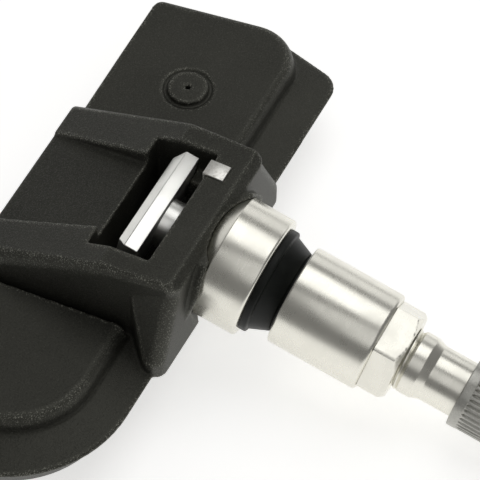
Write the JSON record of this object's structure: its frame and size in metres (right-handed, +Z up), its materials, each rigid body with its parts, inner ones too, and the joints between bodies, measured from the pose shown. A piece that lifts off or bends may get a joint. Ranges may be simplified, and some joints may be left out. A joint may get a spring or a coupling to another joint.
{
  "type": "tyre pressure sensor",
  "caption": "Clamp-in tyre pressure sensor: a black sensor housing joined by a hollow bolt to an aluminium valve with nut, rim grommet and ribbed cap.",
  "frame": {"origin": "on the valve's axis, in the middle of the grommet's spigot, where the rim's hole is", "axes": "+X along the housing towards the pressure port; -Y is the side the valve leaves from, 12 degrees below level; +Z up, away from the housing's base cover"},
  "size_m": [0.0842, 0.0814, 0.0238],
  "materials": {
    "housing_plastic": "fine moulded grain, satin black",
    "cover_plastic": "moulded, matt black",
    "board": "green solder mask",
    "cell_steel": "plain nickel-plated steel",
    "tab_steel": "rolled strip",
    "chip_plastic": "matt black moulding",
    "seal_rubber": "matt black",
    "ferrite": "matt dark ferrite and winding",
    "capacitor_ceramic": "tan ceramic",
    "tinned_strip": "tinned, slightly mottled",
    "turned_aluminium": "turned and satin",
    "bolt_aluminium": "milled and bright",
    "washer_steel": "rolled",
    "core_brass": "turned",
    "ring_plastic": "white, smooth",
    "spring_steel": "drawn wire",
    "cap_plastic": "grey, metallic look"
  },
  "bodies": {
    "valve": {"valve_stem": "turned_aluminium", "hollow_bolt": "bolt_aluminium", "grommet": "seal_rubber", "core_barrel": "core_brass", "core_ring": "ring_plastic", "core_spring": "spring_steel"},
    "sensor": {"housing": "housing_plastic", "base_cover": "cover_plastic", "circuit_board": "board", "coin_cell": "cell_steel", "cell_tab_top": "tab_steel", "cell_tab_bottom": "tab_steel", "pressure_chip": "chip_plastic", "port_seal": "seal_rubber", "radio_chip": "chip_plastic", "antenna_coil": "ferrite", "quartz_crystal": "cell_steel", "capacitors": "capacitor_ceramic", "contact_clip": "tinned_strip"},
    "washer": {"thrust_washer": "washer_steel"},
    "nut": {"valve_nut": "turned_aluminium"},
    "cap_seal": {"cap_seal": "seal_rubber"},
    "cap": {"valve_cap": "cap_plastic"},
    "pin": {"core_pin": "core_brass", "core_cup": "seal_rubber"}
  },
  "joints": [
    {"name": "housing_tilt", "type": "hinge", "parent": "valve", "child": "sensor", "pos_m": [0, 0.00366, 0.00078], "axis": [1, 0, 0], "range_deg": [-6, 6]},
    {"name": "nut_travel", "type": "slide", "parent": "valve", "child": "washer", "axis": [0, -0.9781, -0.2079], "range_m": [0, 0.0085]},
    {"name": "nut_turn", "type": "hinge", "parent": "washer", "child": "nut", "pos_m": [0, -0.00235, -0.0005], "axis": [0, -0.9781, -0.2079], "range_deg": [0, 3065]},
    {"name": "cap_travel", "type": "slide", "parent": "valve", "child": "cap_seal", "axis": [0, -0.9781, -0.2079], "range_m": [0, 0.009]},
    {"name": "cap_turn", "type": "hinge", "parent": "cap_seal", "child": "cap", "pos_m": [0, -0.03629, -0.00771], "axis": [0, -0.9781, -0.2079], "range_deg": [0, 4085]},
    {"name": "core_pin_push", "type": "slide", "parent": "valve", "child": "pin", "axis": [0, 0.9781, 0.2079], "range_m": [0, 0.001], "stiffness_N_per_m": 400, "springref_m": -0.0015, "deforming": ["core_spring"]}
  ],
  "couplings": [
    {"joint": "nut_turn", "follows": "nut_travel", "rad_per_m": 6283.2},
    {"joint": "cap_turn", "follows": "cap_travel", "rad_per_m": 7913.3}
  ]
}
